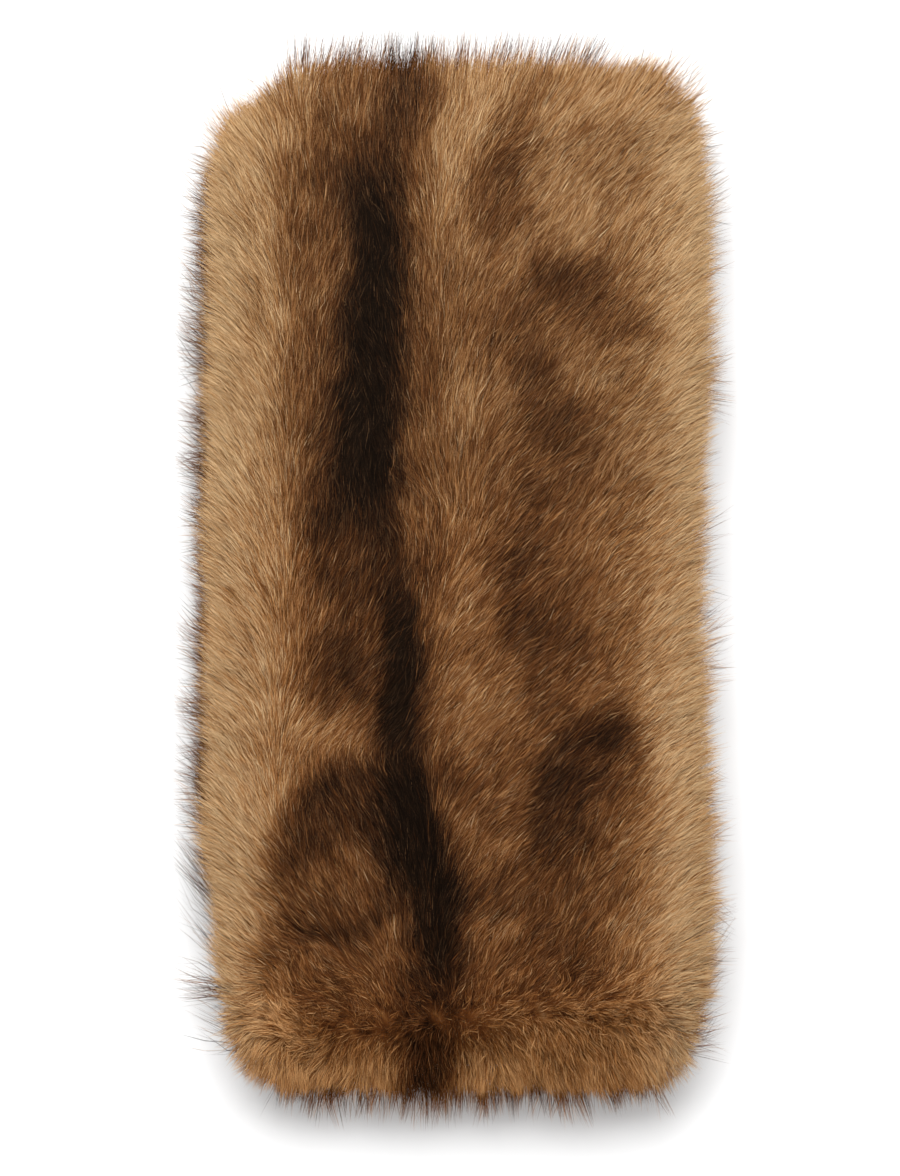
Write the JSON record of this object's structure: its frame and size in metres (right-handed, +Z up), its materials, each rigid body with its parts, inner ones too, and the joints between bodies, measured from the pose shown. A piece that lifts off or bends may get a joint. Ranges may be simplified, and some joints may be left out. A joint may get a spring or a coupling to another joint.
{
  "type": "fur collar wrap",
  "caption": "Strip of long-pile fur cloth folded in half and laid flat, worn round the neck as a collar wrap.",
  "frame": {"origin": "middle of the wrap's footprint, on the surface that it lies on", "axes": "+X across the strip to the right of the picture, +Y along it towards its two free ends, +Z up; the fold is at -Y"},
  "size_m": [0.2059, 0.4088, 0.0454],
  "materials": {
    "front_fur": "long soft pile, golden tan with a near-black spine stripe and brown mottles",
    "fold_fur": "long soft pile opened by the fold, brown with golden tips",
    "back_fur": "long soft pile pressed by the leaf above, brown with dark guard hairs"
  },
  "bodies": {
    "root": {"front_leaf": "front_fur", "bottom_fold": "fold_fur", "back_leaf": "back_fur"}
  },
  "joints": []
}
